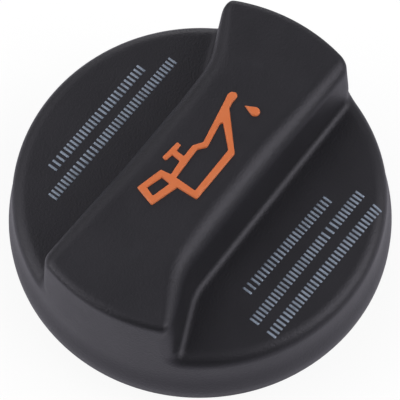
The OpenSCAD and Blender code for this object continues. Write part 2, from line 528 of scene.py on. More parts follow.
class Row(Pattern):
    """Repeats a piece along X at a pitch, centred on where it stands."""

    def __init__(self) -> None:
        """Builds the tree: one shifted copy at each of a number of points."""
        super().__init__("copies_in_a_row", {"Count": "NodeSocketInt", "Pitch": "NodeSocketFloat"})
        graph, inputs = self.graph, self.inputs
        index = graph.out("GeometryNodeInputIndex")
        half = graph.math("DIVIDE", graph.math("SUBTRACT", inputs["Count"], 1.0), 2.0)
        shift = graph.math("MULTIPLY", graph.math("SUBTRACT", index, half), inputs["Pitch"])
        place = graph.out("ShaderNodeCombineXYZ", {0: shift})
        spots = graph.out("GeometryNodePoints", {"Count": inputs["Count"], "Position": place})
        self.end(graph.out("GeometryNodeInstanceOnPoints", {"Points": spots, "Instance": inputs["Geometry"]}))


class Lines(Pattern):
    """Sets copies of a small mark along straight lines, each turned to its line."""

    MARK_POINTS = 7

    def __init__(self) -> None:
        """Builds the tree: marks of a set size at a pitch along each edge of the host's mesh."""
        sizes = ("Width", "Height", "Thickness")
        super().__init__("marks_on_lines", {key: "NodeSocketFloat" for key in ("Pitch", *sizes)})
        graph, inputs = self.graph, self.inputs
        lines = graph.out("GeometryNodeMeshToCurve", {0: inputs["Geometry"]})
        steps = {"Curve": lines, "Length": inputs["Pitch"]}
        spots = graph.add("GeometryNodeCurveToPoints", steps, mode="LENGTH")
        size = graph.out("ShaderNodeCombineXYZ", {number: inputs[key] for number, key in enumerate(sizes)})
        mark = graph.out("GeometryNodeMeshCube", {"Size": size, "Vertices Y": self.MARK_POINTS})
        line = {"Vector": spots.outputs["Tangent"]}
        along = graph.out("FunctionNodeAlignRotationToVector", line, axis="X", pivot_axis="Z")
        copies = {"Points": spots.outputs[0], "Instance": mark, "Rotation": along}
        self.end(graph.out("GeometryNodeInstanceOnPoints", copies))


@dataclass(frozen=True)
class CoverSizes:
    """Sizes of the cover, in millimetres and degrees.

    A span is the stretch over which one value blends into another: lean and crest spans run along the
    grip from its middle, the side and corner spans across it towards the flared side, and the end span
    across the crest at the grip's round ends.
    """

    lip_r: float
    foot_z: float
    top_z: float
    lip_out: float = 0.5
    lip_band: float = 3.2
    lip_sweep: float = 5.6
    lip_round: float = 0.5
    floor_h: float = 13.2
    skirt_draft: float = 4.5
    rim_round: float = 2.5
    wall: float = 2.5
    ledge: float = 0.7
    grip_half: float = 11.3
    grip_draft: float = 6.8
    grip_draft_end: float = 4.6
    grip_round: float = 3.5
    grip_round_side: float = 3.0
    grip_round_end: float = 1.5
    plain_round_end: float = 2.5
    end_round: float = 1.4
    foot_fillet: float = 1.3
    flare_start: float = 14.5
    flare_angle: float = 24.0
    flare_radius: float = 12.0
    sharp_corner: float = 1.9
    soft_corner: float = 2.6
    lean_span: tuple[float, float] = (6.0, 26.0)
    crest_span: tuple[float, float] = (7.0, 19.0)
    crest_end_span: tuple[float, float] = (19.0, 31.0)
    side_span: tuple[float, float] = (-6.0, 6.0)
    corner_span: tuple[float, float] = (-8.0, 11.0)
    corner_rise: float = 3.0
    end_span: tuple[float, float] = (-2.5, 1.5)
    edge: float = 0.35
    deck_h: float = 10.7
    rib_count: int = 3
    rib_pitch: float = 14.0
    rib_t: float = 1.6
    ring_r: float = 28.978
    ring_h: float = 0.8
    bead_count: int = 6
    bead_angle: float = 16.0
    bead_h: float = 1.6
    bead_r: float = 30.178
    bead_top: float = 16.9

    @classmethod
    def from_frame(cls) -> "CoverSizes":
        """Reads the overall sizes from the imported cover."""
        low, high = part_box("cover")
        return cls(lip_r=high.x / MM, foot_z=low.z / MM, top_z=high.z / MM)

    @property
    def floor_z(self) -> float:
        """Height of the finger floors."""
        return self.foot_z + self.floor_h

    @property
    def sweep_z(self) -> float:
        """Height at which the hollow sweep above the lip ends."""
        return self.foot_z + self.lip_band + self.lip_sweep

    @property
    def deck_z(self) -> float:
        """Height of the deck's underside."""
        return self.foot_z + self.deck_h

    def skirt_r(self, z: Any) -> Any:
        """Radius of the tapered skirt at a height."""
        return self.lip_r - self.lip_out - (z - self.foot_z) * math.tan(math.radians(self.skirt_draft))

    def grip_w(self, z: Any, inset: float = 0.0) -> Any:
        """Half width of the grip's straight length at a height, drawn in by an inset."""
        lean = math.radians(self.grip_draft)
        return self.grip_half - (z - self.floor_z) * math.tan(lean) - inset / math.cos(lean)


class CoverForm:
    """The cover's form as a distance field, negative inside the plastic."""

    STEP = 1e-3
    LEAST_SLOPE = 0.2
    LONGEST_MOVE = 1.0

    def __init__(self, sizes: CoverSizes) -> None:
        """Keeps the sizes.

        Args:
            sizes: The cover's sizes.
        """
        self.sizes = sizes

    def sweep_r(self, z: Values) -> Values:
        """Radius of the skirt and of the hollow sweep that leads down to the lip.

        Args:
            z: Heights.

        Returns:
            The radius at each height.
        """
        s = self.sizes
        out = s.lip_r - s.skirt_r(s.foot_z + s.lip_band)
        below = np.maximum(s.sweep_z - z, 0.0) / s.lip_sweep
        return s.skirt_r(z) + out * below**2

    def outline_r(self, z: Values) -> Values:
        """Outer radius of the turned form at each height, lip band included."""
        return np.minimum(self.sizes.lip_r, self.sweep_r(z))

    def wall_beyond(self, x: Values, y: Values) -> Values:
        """Distance in plan beyond the foot of the long wall on the +Y side.

        Args:
            x: Places along the grip.
            y: Places across the grip.

        Returns:
            The distance at each place, negative inside the grip.
        """
        s = self.sizes
        turn = math.radians(s.flare_angle)
        dx, dy = x - s.flare_start, y - s.grip_half - s.flare_radius
        flared = dy * math.cos(turn) - dx * math.sin(turn) + s.flare_radius
        curved = s.flare_radius - np.hypot(dx, dy)
        beyond = np.where(np.arctan2(dx, -dy) > turn, flared, curved)
        return np.where(dx < 0.0, y - s.grip_half, beyond)

    def bar(self, p: Values) -> Values:
        """Distance beyond the nearer of the two leaning long walls.

        Args:
            p: Points, one in each row.

        Returns:
            The distance at each point, negative inside the grip.
        """
        s = self.sizes
        x, y, z = p.T
        lean = np.radians(s.grip_draft + (s.grip_draft_end - s.grip_draft) * smooth(abs(x), *s.lean_span))
        plan = np.maximum(self.wall_beyond(x, y), self.wall_beyond(-x, -y))
        return (plan + (z - s.floor_z) * np.tan(lean)) * np.cos(lean)

    def outside(self, p: Values) -> Values:
        """Field of the outer form, hollow not yet taken out.

        Args:
            p: Points, one in each row.

        Returns:
            The field's value at each point.
        """
        s = self.sizes
        x, y, z = p.T
        side = y * np.sign(x)
        bar = self.bar(p)
        crest = s.grip_round + (s.grip_round_side - s.grip_round) * smooth(abs(x), *s.crest_span)
        crest_end = s.plain_round_end + (s.grip_round_end - s.plain_round_end) * smooth(side, *s.side_span)
        crest = crest + (crest_end - s.grip_round_side) * smooth(abs(x), *s.crest_end_span)
        body = round_max(bar, z - s.top_z, crest)
        body = round_min(body, z - s.floor_z, s.foot_fillet)
        lean = math.cos(math.radians(s.skirt_draft))
        rho = np.hypot(x, y)
        turned = round_max((rho - self.sweep_r(z)) * lean, rho - s.lip_r, s.lip_round)
        corner = s.sharp_corner + (s.soft_corner - s.sharp_corner) * smooth(side, *s.corner_span)
        corner = corner + (s.end_round - corner) * smooth(z - s.top_z - bar, *s.end_span)
        edge = s.rim_round + (corner - s.rim_round) * smooth(z, s.floor_z, s.floor_z + s.corner_rise)
        return round_max(round_max(body, turned, edge), s.foot_z - z, s.edge)

    def hollow(self, p: Values) -> Values:
        """Field of the space inside the skirt and the grip.

        Args:
            p: Points, one in each row.

        Returns:
            The field's value at each point, negative in the space.
        """
        s = self.sizes
        x, y, z = p.T
        rho = np.hypot(x, y)
        lean = math.cos(math.radians(s.skirt_draft))
        under = round_max((rho - s.skirt_r(z) + s.wall) * lean, z - s.deck_z, s.edge)
        ends = (rho - s.skirt_r(z) + s.wall + s.ledge) * lean
        core = round_max(self.bar(p) + s.wall, z - s.top_z + s.wall, s.grip_round - s.wall)
        return round_min(under, round_max(core, ends, 2.0 * s.edge), s.edge)

    def field(self, p: Values) -> Values:
        """Field of the whole cover."""
        return round_max(self.outside(p), -self.hollow(p), self.sizes.edge)

    def height(self, p: Values, passes: int = 12) -> Values:
        """Finds the height of the outer surface over points near it.

        Args:
            p: Points on or near the surface.
            passes: Number of steps.

        Returns:
            The surface's height at each point's place in plan.
        """
        up = np.array([0.0, 0.0, self.STEP])
        moved = p.copy()
        for _ in range(passes):
            rise = (self.outside(moved + up) - self.outside(moved - up)) / (2.0 * self.STEP)
            fall = self.outside(moved) / np.maximum(rise, self.LEAST_SLOPE)
            moved[:, 2] -= np.clip(fall, -self.LONGEST_MOVE, self.LONGEST_MOVE)
        return moved[:, 2]

    def settle(self, p: Values, passes: int = 10) -> Values:
        """Moves points along the field's slope onto the surface.

        Args:
            p: Points near the surface.
            passes: Number of steps.

        Returns:
            The settled points.
        """
        moved = p.copy()
        for _ in range(passes):
            value = self.field(moved)
            gains = [self.field(moved + step) - self.field(moved - step) for step in self.STEP * np.eye(3)]
            slope = np.stack(gains, axis=1) / (2.0 * self.STEP)
            moved -= slope * (value / np.maximum((slope**2).sum(1), self.LEAST_SLOPE))[:, None]
        return moved


def graded(count: int, pull: float) -> Values:
    """Steps from 0 to 1, finer near 0 for a positive pull and near 1 for a negative one."""
    u = np.linspace(0.0, 1.0, count + 1)
    return u if pull == 0.0 else np.expm1(pull * u) / math.expm1(pull)


def stations(length: Values, first: list[float], last: list[float], middle: int) -> Values:
    """Distances along each column's stretch, at set offsets from its two ends and even between them.

    Args:
        length: Length of the stretch for each column.
        first: Offsets from the stretch's start.
        last: Offsets from its end, largest first.
        middle: Number of even steps between the two groups.

    Returns:
        One row for each column, from after the start up to the end.
    """
    near = np.array(first) * np.minimum(1.0, END_SHARE * length / max(first))[:, None]
    far = length[:, None] - np.array(last) * np.minimum(1.0, END_SHARE * length / max(last))[:, None]
    share = np.arange(1, middle) / middle
    between = near[:, -1:] + (far[:, :1] - near[:, -1:]) * share
    return np.concatenate([near, between, far, length[:, None]], axis=1)


def bridged(stretches: list[tuple[Values, Values, list[float], list[float], int]]) -> list[Values]:
    """Sets points on straight stretches from one line of points to another.

    Args:
        stretches: Start line, end line, offsets from both ends and number of even steps of each stretch.

    Returns:
        One block for each stretch: a row of points for each column, from after the start up to the end.
    """
    made = []
    for start, end, near, far, middle in stretches:
        length = np.linalg.norm(end - start, axis=1)
        unit = (end - start) / np.maximum(length, TINY)[:, None]
        made.append(start[:, None] + stations(length, near, far, middle)[:, :, None] * unit[:, None])
    return made


@dataclass
class Cover:
    """The outer moulding: lip, skirt, finger floors and the hollow grip with its ribs and snap beads.

    Its shell is a grid of columns that begin on the grip's middle line, the spine, run down over the
    outside and come back up inside. The ribs, beads and ring stand a little deep in the shell, the sink.
    """

    sizes: CoverSizes
    finish: Finish = BLACK_PLASTIC
    straight_steps: int = 64
    turn_steps: int = 12
    flare_steps: int = 22
    end_steps: int = 46
    end_even: float = 0.45
    end_pull: float = 1.6
    spine: float = 18.0
    end_lift: float = 2.0
    lift_reach: float = 7.0
    sink: float = 0.3
    rib_bevel: float = 0.2
    bead_round: float = 0.3
    ring_round: float = 0.2
    form: CoverForm = field(init=False)

    def __post_init__(self) -> None:
        """Makes the distance field for these sizes."""
        self.form = CoverForm(self.sizes)

    @property
    def wall_columns(self) -> int:
        """Number of columns along one long wall."""
        return self.straight_steps + self.turn_steps + self.flare_steps + 1

    def spine_line(self, count: int, z: float) -> Values:
        """Makes the line along the grip's middle on which the columns of half the cover meet the other half.

        Args:
            count: Number of columns.
            z: Height of the line.

        Returns:
            One point for each column.
        """
        line = np.zeros((count, 3))
        line[:, 0] = self.spine
        line[: self.wall_columns, 0] = np.linspace(-self.spine, self.spine, self.wall_columns)
        line[:, 2] = z
        return line

    def wall_run(self, w: float, r: float) -> Values:
        """Plan points along one long wall, from its straight corner to its flared one.

        Args:
            w: Half width of the straight length.
            r: Radius of the circle that ends the wall.

        Returns:
            One row of x and y for each column on the wall.
        """
        s = self.sizes
        turn = math.radians(s.flare_angle)
        bend = s.grip_half + s.flare_radius - w
        start = -math.sqrt(r * r - w * w)
        straight = start + (s.flare_start - start) * graded(self.straight_steps, self.end_pull)
        angles = turn * graded(self.turn_steps, 0.0)[1:]
        last = np.array([s.flare_start + bend * math.sin(turn), w + bend * (1.0 - math.cos(turn))])
        out = np.array([math.cos(turn), math.sin(turn)])
        along = math.sqrt((last @ out) ** 2 - last @ last + r * r) - last @ out
        return np.concatenate([
            np.stack([straight, np.full_like(straight, w)], 1),
            np.stack([s.flare_start + bend * np.sin(angles), w + bend * (1.0 - np.cos(angles))], 1),
            last + np.outer(along * graded(self.flare_steps, -self.end_pull)[1:], out),
        ])

    def level(self, w: float, r: float, z: float) -> Values:
        """Closed half outline of the grip at a level: one wall, then the round end up to the next wall.

        Args:
            w: Half width of the straight length.
            r: Radius of the round end.
            z: Height of the level.

        Returns:
            One point for each column of half the cover.
        """
        wall = self.wall_run(w, r)
        first = math.atan2(wall[-1, 1], wall[-1, 0])
        last = -math.asin(w / r)
        even = np.linspace(0.0, 1.0, self.end_steps + 1)[1:-1]
        share = self.end_even * even + (1.0 - self.end_even) * 0.5 * (1.0 - np.cos(math.pi * even))
        angle = first + (last - first) * share
        plan = np.concatenate([wall, r * np.stack([np.cos(angle), np.sin(angle)], 1)])
        return np.column_stack([plan, np.full(len(plan), z)])

    def rows(self) -> Values:
        """Points of half the cover before settling, with columns that run from spine to spine.

        Returns:
            One row of points for each column.
        """
        s = self.sizes
        top = self.level(s.grip_w(s.top_z), s.skirt_r(s.top_z), s.top_z)
        foot = self.level(s.grip_w(s.floor_z), s.skirt_r(s.floor_z), s.floor_z)
        n = self.wall_columns
        walk = np.concatenate([[0.0], np.cumsum(np.linalg.norm(np.diff(foot[:n], axis=0), axis=1))])
        first, last = (math.atan2(foot[i, 1], foot[i, 0]) for i in (0, n - 1))
        angle = np.arctan2(foot[:, 1], foot[:, 0])
        angle[:n] = first + (last - first) * walk / walk[-1]
        rim = foot.copy()
        rim[:, 0], rim[:, 1] = s.skirt_r(s.floor_z) * np.cos(angle), s.skirt_r(s.floor_z) * np.sin(angle)
        # The round ends have no floor, so there the stretch from foot to rim runs down the outside.
        walls = (foot[n - 1], foot[0] * HALF_TURN)
        reach = np.minimum(*(np.linalg.norm(foot[n:] - wall, axis=1) for wall in walls))
        lift = self.end_lift * smooth(reach, 0.0, self.lift_reach)
        down = (foot[n:] - top[n:]) / (s.top_z - s.floor_z)
        foot[n:] -= down * lift[:, None]
        rim[n:] += down * lift[:, None]
        spine = self.spine_line(len(top), s.top_z)
        upper = bridged([
            (spine, top, [0.01, 4.0], [7.0, 5.2, 4.2, 3.6, 3.0, 2.5, 2.0, 1.5, 1.0, 0.5], 5),
            (top, foot, [0.5, 1.0, 1.5, 2.0, 2.5, 3.0, 3.6, 4.2, 5.0], [2.4, 1.6, 1.2, 0.9, 0.6, 0.3], 4),
            (foot, rim, [0.3, 0.6, 0.9, 1.2, 1.6, 2.4], [3.6, 2.8, 2.4, 2.0, 1.6, 1.2, 0.8, 0.4], 8),
        ])
        lower = [self.turned_rows(angle, rim[:, 2]), self.inner_rows(angle)]
        return np.concatenate([spine[:, None], *upper, *lower], axis=1)

    def turned_rows(self, angle: Values, start: Values) -> Values:
        """Rows down the skirt, round the lip and up the inside of the skirt.

        Args:
            angle: Angle of each column about the axis.
            start: Height at which each column's skirt begins.

        Returns:
            One row of points for each column.
        """
        s = self.sizes
        drop = stations(start - s.sweep_z, [0.4, 0.8, 1.2, 1.6, 2.0, 2.4, 3.0], [1.0, 0.5], 4)
        lip = np.concatenate([
            np.linspace(s.sweep_z, s.foot_z + s.lip_band, 9)[1:],
            s.foot_z + s.lip_band * np.array([0.86, 0.72, 0.58, 0.44, 0.3]),
            s.foot_z + np.array([0.6, *EDGE_ROWS[::-1], 0.0]),
        ])
        inner_r = s.skirt_r(s.foot_z) - s.wall
        flat_r = np.concatenate([
            s.lip_r - np.array([*EDGE_ROWS, 1.5, s.lip_r - inner_r - EDGE_ROWS[-1]]),
            inner_r + np.array([*EDGE_ROWS[1::-1], 0.0]),
        ])
        rise = np.concatenate([
            s.foot_z + np.array(EDGE_ROWS),
            np.linspace(s.foot_z, s.deck_z, 7)[1:-1],
            s.deck_z - np.array([*EDGE_ROWS[::-1], 0.0]),
        ])
        same = (len(angle), 1)
        high = np.concatenate([start[:, None] - drop, np.tile(lip, same)], axis=1)
        inside = np.concatenate([flat_r, s.skirt_r(rise) - s.wall])
        radius = np.concatenate([self.form.outline_r(high), np.tile(inside, same)], axis=1)
        inside_z = np.concatenate([np.full(len(flat_r), s.foot_z), rise])
        height = np.concatenate([high, np.tile(inside_z, same)], axis=1)
        return np.stack([radius * np.cos(angle)[:, None], radius * np.sin(angle)[:, None], height], axis=2)

    def inner_rows(self, angle: Values) -> Values:
        """Rows along the deck's underside, up the grip's hollow and along its ceiling.

        Args:
            angle: Angle of each column about the axis.

        Returns:
            One row of points for each column.
        """
        s = self.sizes
        ceiling = s.top_z - s.wall
        inset = s.wall + s.ledge
        r_deck = s.skirt_r(s.deck_z) - s.wall
        edge = np.stack([r_deck * np.cos(angle), r_deck * np.sin(angle), np.full_like(angle, s.deck_z)], 1)
        low = self.level(s.grip_w(s.deck_z, s.wall), s.skirt_r(s.deck_z) - inset, s.deck_z)
        high = self.level(s.grip_w(ceiling, s.wall), s.skirt_r(ceiling) - inset, ceiling)
        near = list(EDGE_ROWS)
        return np.concatenate(bridged([
            (edge, low, near, near[::-1], 4),
            (low, high, near, [1.6, 1.2, 0.8, 0.4], 5),
            (high, self.spine_line(len(high), ceiling), [0.4, 0.8, 1.2, 1.6], [0.3], 4),
        ]), axis=1)

    def shell(self) -> bpy.types.Object:
        """Builds the cover's shell.

        Returns:
            The shell's object.
        """
        half = self.rows()
        whole = np.concatenate([half, half * HALF_TURN])
        columns, rows = whole.shape[:2]
        points = self.form.settle(whole.reshape(-1, 3))
        faces = [
            (i * rows + k, i * rows + k + 1, j * rows + k + 1, j * rows + k)
            for i, j in zip(range(columns), [*range(1, columns), 0])
            for k in range(rows - 1)
        ]
        return mesh_object("cover_shell", points, faces)

    def ribs(self, finish: bpy.types.Material) -> bpy.types.Object:
        """Builds the stiffening ribs across the grip's hollow.

        Args:
            finish: The cover's material.

        Returns:
            The ribs' object.
        """
        s = self.sizes
        low, high = s.deck_z, s.top_z - s.wall + self.sink
        wide, narrow = s.grip_w(low, s.wall) + self.sink, s.grip_w(high, s.wall) + self.sink
        plate = [(-wide, low), (wide, low), (narrow, high), (-narrow, high)]
        half, bevel = s.rib_t / 2.0, self.rib_bevel
        sides = [(-half, bevel), (-half + bevel, 0.0), (half - bevel, 0.0), (half, bevel)]
        points = np.array([(x, y, z + lift * (z == low)) for x, lift in sides for y, z in plate])
        rib = mesh_object("cover_rib", points, ring_faces(len(sides), len(plate)))
        return Row().run(rib, {"Count": s.rib_count, "Pitch": s.rib_pitch * MM, "Finish": finish})

    def beads(self, finish: bpy.types.Material) -> bpy.types.Object:
        """Builds the snap beads that hold the insert's flange.

        Args:
            finish: The cover's material.

        Returns:
            The beads' object.
        """
        s = self.sizes
        top, low = s.bead_top, s.bead_top - s.bead_h
        corners = [
            (s.bead_r, top),
            (s.skirt_r(top) - s.wall + self.sink, top),
            (s.skirt_r(low) - s.wall + self.sink, low),
            (s.bead_r + s.bead_h / 2.0, low),
        ]
        profile = rounded(corners, self.bead_round)
        bead = sector("cover_bead", lambda angle: profile, s.bead_angle / 2.0)
        return Around().run(bead, {"Count": s.bead_count, "Start": 0.5, "Finish": finish})

    def stop_ring(self, finish: bpy.types.Material) -> bpy.types.Object:
        """Builds the ring under the deck that the insert's flange stops against.

        Args:
            finish: The cover's material.

        Returns:
            The ring's object.
        """
        s = self.sizes
        low, high = s.deck_z - s.ring_h, s.deck_z + self.sink
        inner = s.ring_r - s.rib_t
        profile = [(inner, high), (inner, low), (s.ring_r, low), (s.ring_r, high)]
        return Turning().turn("cover_ring", rounded(profile, self.ring_round), finish, True)

    def build(self) -> bpy.types.Object:
        """Builds and dresses the cover.

        Returns:
            The cover's object.
        """
        finish = self.finish.material()
        pieces = [self.shell(), self.ribs(finish), self.beads(finish), self.stop_ring(finish)]
        made = joined("cover_moulding", pieces, finish)
        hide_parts("cover")
        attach(made, ROOT)
        return made


@dataclass
class LockingInsert:
    """The insert: snapped-in flange, spigot with the seal's collar, and three bayonet lugs."""

    flange_z: float = 16.9
    flange_t: float = 2.0
    flange_r: float = 30.978
    spigot_r: float = 18.978
    spigot_wall: float = 2.6
    seal_z: float = 13.7
    collar: float = 0.9
    lug_count: int = 3
    lug_angle: float = 38.0
    lug_out: float = 2.6
    lug_h: float = 4.6
    lug_slope: float = 8.0
    lug_z: float = 1.4
    edge: float = 0.35
    finish: Finish = INSERT_PLASTIC

    def body(self, finish: bpy.types.Material) -> bpy.types.Object:
        """Turns the flange and the spigot.

        Args:
            finish: The insert's material.

        Returns:
            The turned body.
        """
        bore = self.spigot_r - self.spigot_wall
        ring = self.spigot_r + self.collar
        profile = [
            (0.0, self.flange_z), (bore, self.flange_z), (bore, 0.0), (self.spigot_r, 0.0),
            (self.spigot_r, self.seal_z - 2 * self.collar), (ring, self.seal_z - self.collar),
            (ring, self.seal_z), (self.spigot_r, self.seal_z), (self.spigot_r, self.flange_z),
            (self.flange_r, self.flange_z),
            (self.flange_r, self.flange_z + self.flange_t), (0.0, self.flange_z + self.flange_t),
        ]
        return Turning().turn("insert_body", rounded(profile, self.edge, closed=False), finish, False)

    def lug_section(self, angle: float) -> Values:
        """Section of a lug, whose top slopes along the round.

        Args:
            angle: Angle from the lug's middle, in radians.

        Returns:
            Rows of radius and height.
        """
        outer, root = self.spigot_r + self.lug_out, self.spigot_r - self.spigot_wall / 2.0
        far = outer * math.sin(math.radians(self.lug_angle / 2.0))
        fall = (far - outer * math.sin(angle)) * math.tan(math.radians(self.lug_slope))
        low, top = self.lug_z, self.lug_z + self.lug_h - fall
        cut = self.lug_out / 3.0
        corners = [(root, low), (outer - cut, low), (outer, low + cut), (outer, top), (root, top)]
        return rounded(corners, self.edge)

    def build(self) -> bpy.types.Object:
        """Builds and dresses the insert.

        Returns:
            The insert's object.
        """
        finish = self.finish.material()
        lug = sector("insert_lug", self.lug_section, self.lug_angle / 2.0)
        lugs = Around().run(lug, {"Count": self.lug_count, "Start": 0.0, "Finish": finish})
        made = joined("insert_moulding", [self.body(finish), lugs], finish)
        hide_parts("locking_insert")
        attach(made, ROOT)
        return made


@dataclass
class SealRing:
    """The rubber seal held over the spigot's collar."""

    inner: float = 19.078
    outer: float = 25.478
    low: float = 13.7
    high: float = 16.9
    chamfer: float = 0.5
    edge: float = 0.3
    finish: Finish = SEAL_RUBBER

    def build(self) -> bpy.types.Object:
        """Builds and dresses the seal.

        Returns:
            The seal's object.
        """
        corners = [
            (self.inner, self.high), (self.inner, self.low), (self.outer - self.chamfer, self.low),
            (self.outer, self.low + self.chamfer), (self.outer, self.high),
        ]
        profile = rounded(corners, self.edge, 5)
        made = Turning().turn("seal_ring_rubber", profile, self.finish.material(), True)
        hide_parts("seal_ring")
        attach(made, ROOT)
        return made


@dataclass
class PrintRows:
    """Rows of plain tick marks on the finger floors.

    Each row has its two ends, and the shares of its length at which its groups of marks start and stop.
    """

    form: CoverForm
    pitch: float = 0.84
    width: float = 0.43
    height: float = 1.9
    thickness: float = 0.03
    rows: tuple[tuple[tuple[float, float], tuple[float, float], tuple[float, ...]], ...] = (
        ((-12.4, 23.5), (12.9, 23.0), (0.0, 0.13, 0.17, 0.52, 0.56, 0.74, 0.78, 1.0)),
        ((-16.9, 19.9), (17.6, 19.3), (0.0, 0.2, 0.23, 0.34, 0.37, 1.0)),
        ((-10.9, -18.6), (11.6, -19.7), (0.0, 0.1, 0.14, 0.42, 0.46, 0.84, 0.88, 1.0)),
        ((-14.8, -23.0), (15.9, -23.7), (0.0, 0.28, 0.31, 0.64, 0.67, 0.75, 0.78, 1.0)),
        ((-15.0, -26.8), (15.6, -27.7), (0.0, 0.12, 0.15, 0.4, 0.43, 0.8, 0.83, 1.0)),
    )
    finish: Finish = PRINT_INK

    def build(self) -> bpy.types.Object:
        """Builds and dresses the marks.

        Returns:
            The marks' object.
        """
        z = self.form.sizes.floor_z
        points: list[tuple[float, float, float]] = []
        for start, end, stops in self.rows:
            for share in stops:
                x, y = np.array(start) + share * (np.array(end) - np.array(start))
                points.append((x * MM, y * MM, z * MM))
        mesh = bpy.data.meshes.new("print_marks")
        mesh.from_pydata(points, [(i, i + 1) for i in range(0, len(points), 2)], [])
        sizes = {"Pitch": self.pitch, "Width": self.width, "Height": self.height, "Thickness": self.thickness}
        values: dict[str, Any] = {key: value * MM for key, value in sizes.items()}
        values["Finish"] = self.finish.material()
        made = Lines().run(placed("print_marks", mesh), values)
        flat = np.empty(3 * len(made.data.vertices))
        made.data.vertices.foreach_get("co", flat)
        p = flat.reshape(-1, 3) / MM
        base = np.column_stack([p[:, :2], np.full(len(p), z)])
        p[:, 2] += self.form.height(base) - z
        made.data.vertices.foreach_set("co", (p * MM).ravel())
        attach(made, ROOT)
        return made


@dataclass
class Sign:
    """The common oil can sign, raised on the grip.

    The profile is the section of its edge, as shares of the slope's width and of the sign's height.
    """

    base_z: float
    height: float = 0.35
    slope: float = 0.22
    corner: float = 0.25
    sink: float = 0.1
    profile: tuple[tuple[float, float], ...] = ((-0.3, 0.0), (0.0, 0.55), (0.45, 0.9), (1.0, 1.0))
    finish: Finish = SIGN_PAINT
    outline: tuple[tuple[float, float], ...] = (
        (-10.8, 5.1), (-11.95, 1.1), (-6.7, -0.4), (-6.5, -4.45), (4.3, -4.55), (10.9, 1.5), (12.2, 1.75),
        (13.6, 1.7), (14.1, 2.3), (13.7, 3.1), (13.0, 3.3), (12.1, 3.05), (2.9, 1.1), (1.3, 2.25),
        (-1.3, 2.2), (-1.2, 3.95), (0.15, 3.95), (0.2, 4.75), (-3.6, 5.1), (-3.75, 4.3), (-2.25, 4.05),
        (-2.4, 2.2), (-5.4, 1.9), (-5.7, 3.85),
    )
    handle_hole: tuple[tuple[float, float], ...] = ((-9.85, 3.8), (-10.5, 1.95), (-6.9, 1.0), (-6.75, 2.85))
    can_hole: tuple[tuple[float, float], ...] = (
        (-5.35, 0.9), (-5.4, -3.3), (4.3, -3.3), (8.0, 0.6), (7.5, 1.0), (2.5, 0.05), (1.1, 1.2),
    )
    drop_tip: tuple[float, float] = (12.9, -0.5)
    drop_centre: tuple[float, float] = (13.05, -2.55)
    drop_r: float = 0.85
    drop_turn: tuple[float, float] = (30.0, -210.0)
    drop_points: int = 24
    sharpest: float = 0.7

    def drop(self) -> Values:
        """Draws the drop: a tip and a round end.

        Returns:
            The drop's outline.
        """
        turn = np.linspace(*np.radians(self.drop_turn), self.drop_points)
        round_end = np.array(self.drop_centre) + self.drop_r * np.stack([np.cos(turn), np.sin(turn)], 1)
        return np.concatenate([[self.drop_tip], round_end])[::-1]

    def side(self, work: bmesh.types.BMesh, loop: Values) -> list[list[bmesh.types.BMVert]]:
        """Adds the side over one outline, from inside the grip up to the sign's face.

        Args:
            work: The mesh to add to.
            loop: The outline, with the paint on its left.

        Returns:
            The side's rings of points, lowest first.
        """
        ahead = np.roll(loop, -1, 0) - loop
        ahead /= np.linalg.norm(ahead, axis=1)[:, None]
        normal = np.stack([-ahead[:, 1], ahead[:, 0]], 1)
        both = normal + np.roll(normal, 1, 0)
        inward = both / np.maximum((both**2).sum(1) / 2.0, self.sharpest)[:, None]
        levels = [(self.profile[0][0], -self.sink), *((share, z * self.height) for share, z in self.profile)]
        rings = []
        for share, z in levels:
            plan = loop + inward * share * self.slope
            rings.append([work.verts.new((x * MM, y * MM, (self.base_z + z) * MM)) for x, y in plan])
        for low, high in zip(rings, rings[1:]):
            for i in range(len(loop)):
                j = (i + 1) % len(loop)
                work.faces.new((low[i], low[j], high[j], high[i]))
        return rings

    def build(self) -> bpy.types.Object:
        """Builds and dresses the sign.

        Returns:
            The sign's object.
        """
        work = bmesh.new()
        can = [rounded(line, self.corner) for line in (self.outline, self.handle_hole, self.can_hole)]
        for loops in (can, [self.drop()]):
            top: list[bmesh.types.BMEdge] = []
            bottom: list[bmesh.types.BMEdge] = []
            for number, loop in enumerate(loops):
                area = np.sum(loop[:, 0] * np.roll(loop[:, 1], -1) - np.roll(loop[:, 0], -1) * loop[:, 1])
                rings = self.side(work, loop if (area > 0) == (number == 0) else loop[::-1])
                for edges, ring in ((top, rings[-1]), (bottom, rings[0])):
                    edges += [work.edges.get(ends) for ends in zip(ring, ring[1:] + ring[:1])]
            for edges in (top, bottom):
                bmesh.ops.triangle_fill(work, edges=edges, use_beauty=True)
        bmesh.ops.recalc_face_normals(work, faces=work.faces)
        mesh = bpy.data.meshes.new("oil_can_sign_paint")
        work.to_mesh(mesh)
        work.free()
        made = placed("oil_can_sign_paint", mesh)
        made.data.materials.append(self.finish.material())
        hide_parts("oil_can_sign")
        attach(made, ROOT)
        return made


